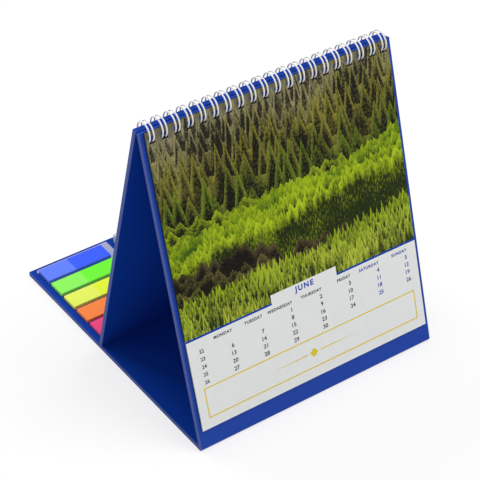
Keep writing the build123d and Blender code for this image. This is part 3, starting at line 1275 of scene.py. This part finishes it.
def stack(
    name: str, node: str, sheets: int, play_mm: float, seed: int, material: Material
) -> bpy.types.Object:
    """Pad of loose sheets that fills a CAD block: each sheet's edge stands in by a small random amount.

    The skin is a rounded rectangle carried up in pairs of levels, one pair for each sheet.

    Args:
        name: Piece name.
        node: CAD block that the pad replaces.
        sheets: Sheets drawn, fewer and thicker than the real ones so that they show.
        play_mm: Most that a sheet stands in.
        seed: Seed of the random draw.
        material: Finish of the pad.

    Returns:
        The pad.
    """
    low, high = (np.array(corner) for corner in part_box(node))
    half = (high - low) / 2
    inset = np.repeat(np.random.default_rng(seed).uniform(0, play_mm * MM, sheets), 2)
    bounds = np.linspace(low[2], high[2], sheets + 1)
    levels = np.stack([bounds[:-1], bounds[1:]], axis=1).ravel()
    loops = rounded_loop(half[0] - inset, half[1] - inset, SHEET_CORNER_MM * MM, SHEET_CORNER_STEPS)
    rings = np.empty((*loops.shape[:2], 3))
    rings[..., :2] = loops + ((low + high) / 2)[:2]
    rings[..., 2] = levels[:, None]
    pad = mesh_piece(name, *loft(rings), [material])
    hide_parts(node)
    LOG.info("%s: %d faces", name, len(pad.data.polygons))
    return pad


class FlagTone(Enum):
    """Tints of the index flags, front to back: bright half, paler half, and the sides' tint, lightened as
    painted light.
    """

    PINK = ("#f82c78", "#f5407f", "#ee6496")
    ORANGE = ("#ff7a2c", "#ff863a", "#f58a48")
    YELLOW = ("#e2f52c", "#e6f55a", "#e2e25e")
    GREEN = ("#6cf32a", "#8af358", "#8cd868")
    BLUE = ("#2e58f2", "#5a7af2", "#6c84e6")


@dataclass
class FlagSet:
    """Five pads of film flags on their film card."""

    frosted_mm: float = 19.6
    rim_mm: float = 2.75
    sheets: int = 9
    play_mm: float = 0.10
    seed: int = 40
    tape: Paper = Paper("acrylic_tape_white")

    def build(self) -> None:
        """Builds the pads, dresses their top flags and the card."""
        low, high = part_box("flag_top_blue")
        split = low[0] + self.frosted_mm * MM
        for order, tone in enumerate(FlagTone):
            colour = tone.name.lower()
            film = TintedFilm(f"polyester_film_{colour}", *tone.value, split).material()
            node = f"flag_pad_{colour}"
            pad = stack(f"flag_stack_{colour}", node, self.sheets, self.play_mm, self.seed + order, film)
            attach(pad, "base")
            dress([f"flag_top_{colour}"], film)
        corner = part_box("flag_card")[0][0] + self.rim_mm * MM, high[1]
        dress(["flag_card"], CardFilm(high[0], corner, self.rim_mm).material())
        dress(["flag_tape", "note_tape"], self.tape.material())


@dataclass
class NotePad:
    """White note pad: a glued stack of sheets with a loose top sheet."""

    sheets: int = 24
    play_mm: float = 0.12
    seed: int = 71
    paper: Paper = Paper("note_paper_white_stack", "#d6d7d6", "#cfd0cf")

    def build(self) -> None:
        """Builds the stack and dresses the top sheet."""
        paper = self.paper.material()
        pad = stack("note_stack", "note_pad", self.sheets, self.play_mm, self.seed, paper)
        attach(pad, "base")
        dress(["note_top_sheet"], paper)


@dataclass
class Studio:
    """Pale floor, soft lamps, white surround and the camera at the photo's viewpoint."""

    camera_mm: tuple[float, float, float] = (-476.24, -697.06, 709.82)
    azimuth_deg: float = -34.953
    elevation_deg: float = 37.980
    roll_deg: float = -0.206
    lens_mm: float = 138.99
    sensor_mm: float = 36.0
    floor_m: float = 4.0
    floor_drop_mm: float = 0.1
    floor_white: float = 0.7
    floor_tints: tuple[str, str] = ("#f6f6f6", "#f9f9f9")
    floor_cloud_mm: float = 400.0
    floor_sheen: Sheen = Sheen((0.85, 0.95), 0.0, 0.1)
    clip_m: tuple[float, float] = (0.05, 20.0)
    ambient: float = 0.52
    lamps: tuple[tuple[tuple[float, float, float], float, float], ...] = (
        ((0.45, -0.5, 1.4), 0.9, 12.0),
        ((-0.3, 1.1, 1.15), 0.8, 9.5),
    )

    def build(self) -> None:
        """Sets up floor, world, lamps and camera."""
        scene = bpy.context.scene
        scene.view_settings.view_transform = "Standard"
        self._floor()
        self._world(scene)
        for number, (place, size, power) in enumerate(self.lamps):
            self._lamp(f"softbox_{number + 1}", np.array(place), size, power)
        self._camera(scene)

    def _floor(self) -> None:
        """Flat square under the object."""
        half, drop = self.floor_m / 2, -self.floor_drop_mm * MM
        signs = np.array([[-1, -1], [1, -1], [1, 1], [-1, 1]])
        corners = np.column_stack([signs * half, np.full(4, drop)])
        s = Shading("studio_floor_matt_white")
        shade = s.add("TexNoise", {"Vector": s.at, "Scale": per_metre(self.floor_cloud_mm), "Detail": 2.0})
        first, second = (linear(tint) for tint in self.floor_tints)
        colour = s.add("Mix", {0: shade, 6: first, 7: second}, 2, data_type="RGBA")
        floor = s.finish(colour, shade, self.floor_sheen)
        glow = s.add("Emission", {"Color": WHITE, "Strength": 1.0})
        share = s.add("Math", {0: seen_rays(s.tree), 1: self.floor_white}, operation="MULTIPLY")
        shown = s.add("MixShader", {0: share, 1: s.shader.outputs[0], 2: glow})
        output = next(n for n in s.tree.nodes if n.type == "OUTPUT_MATERIAL")
        s.tree.links.new(shown, output.inputs["Surface"])
        mesh_piece("floor", corners, [[0, 1, 2, 3]], [floor])

    def _world(self, scene: bpy.types.Scene) -> None:
        """White where the camera, gloss or glass looks, and an even ambient light elsewhere.

        Args:
            scene: Scene that takes the world.
        """
        scene.world = bpy.data.worlds.new("white_surround")
        scene.world.use_nodes = True
        tree = scene.world.node_tree
        tree.nodes.clear()
        dim = add_node(tree, "Background", {"Color": WHITE, "Strength": self.ambient})
        bright = add_node(tree, "Background", {"Color": WHITE, "Strength": 1.0})
        shown = add_node(tree, "MixShader", {0: seen_rays(tree), 1: dim, 2: bright})
        add_node(tree, "OutputWorld", {0: shown})

    def _lamp(self, name: str, place: Array, size: float, power: float) -> None:
        """Square area lamp that faces the middle of the object.

        Args:
            name: Name of the lamp.
            place: Where it hangs, in metres.
            size: Length of its side, in metres.
            power: Its power in watts.
        """
        data = bpy.data.lights.new(name, "AREA")
        data.energy, data.size = power, size
        lamp = bpy.data.objects.new(name, data)
        bpy.context.scene.collection.objects.link(lamp)
        target = (np.array(CAD_BOX[0]) + np.array(CAD_BOX[1])) / 2
        back = place - target
        lamp.matrix_world = view_matrix(place, back / np.linalg.norm(back), 0.0)

    def _camera(self, scene: bpy.types.Scene) -> None:
        """Camera at the photo's place, from its azimuth, elevation and roll.

        Args:
            scene: Scene that takes the camera.
        """
        data = bpy.data.cameras.new("photo_camera")
        data.lens, data.sensor_width = self.lens_mm, self.sensor_mm
        data.clip_start, data.clip_end = self.clip_m
        camera = bpy.data.objects.new("photo_camera", data)
        scene.collection.objects.link(camera)
        turn, rise = math.radians(self.azimuth_deg), math.radians(self.elevation_deg)
        back = np.array([math.sin(turn) * math.cos(rise), -math.cos(turn) * math.cos(rise), math.sin(rise)])
        camera.matrix_world = view_matrix(np.array(self.camera_mm) * MM, back, math.radians(self.roll_deg))
        scene.camera = camera


def seen_rays(tree: bpy.types.NodeTree) -> Socket:
    """Tells the rays that look from the rays that light.

    Args:
        tree: Tree that takes the nodes.

    Returns:
        One where the camera, gloss or glass looks, and zero for light that only lights.
    """
    rays = add_node(tree, "LightPath").node.outputs
    seen = add_node(tree, "Math", {0: rays["Is Camera Ray"], 1: rays["Is Glossy Ray"]}, operation="MAXIMUM")
    return add_node(tree, "Math", {0: seen, 1: rays["Is Transmission Ray"]}, operation="MAXIMUM")


def view_matrix(place: Array, back: Array, roll: float) -> Matrix:
    """Pose of a lamp or camera that looks against a direction.

    Args:
        place: Where it stands.
        back: Unit direction from what it looks at towards it.
        roll: Turn about that direction, in radians.

    Returns:
        A 4 by 4 matrix.
    """
    right = np.cross([0.0, 0.0, 1.0], back)
    right /= np.linalg.norm(right)
    up = np.cross(back, right)
    matrix = np.eye(4)
    matrix[:3, 0] = right * math.cos(roll) + up * math.sin(roll)
    matrix[:3, 1] = up * math.cos(roll) - right * math.sin(roll)
    matrix[:3, 2] = back
    matrix[:3, 3] = place
    return Matrix(matrix.tolist())


def main() -> None:
    """Builds every sub-assembly in order and notes the size of the result."""
    logging.basicConfig(level=logging.INFO, format="%(name)s: %(message)s")
    Studio().build()
    BoardStand().build()
    TwinLoopWire().build()
    plain = Paper("leaf_paper_coated_back").material()
    inks = {tone: tone.value.material() for tone in InkTone}
    block = sorted(node for node in frame["nodes"] if node.startswith("month_leaf_"))
    sheet = SheetPlane.of_node(block[-1])
    foot = sheet.corner @ sheet.up + MonthLeaf.picture_foot_mm * MM
    dress(block, BlockEdge(sheet.up, foot).material())
    leaves = (
        MonthLeaf("month_leaf_01", "front_leaf", "JUNE", 30, Weekday.WEDNESDAY, 22, WOODED_SLOPE, 3.0),
        MonthLeaf("month_leaf_02", "front", "JULY", 31, Weekday.FRIDAY, 26, HARVEST_HILLS, 11.0),
    )
    for leaf in leaves:
        leaf.build(inks, plain)
    FlagSet().build()
    NotePad().build()


if __name__ == "__main__":
    main()
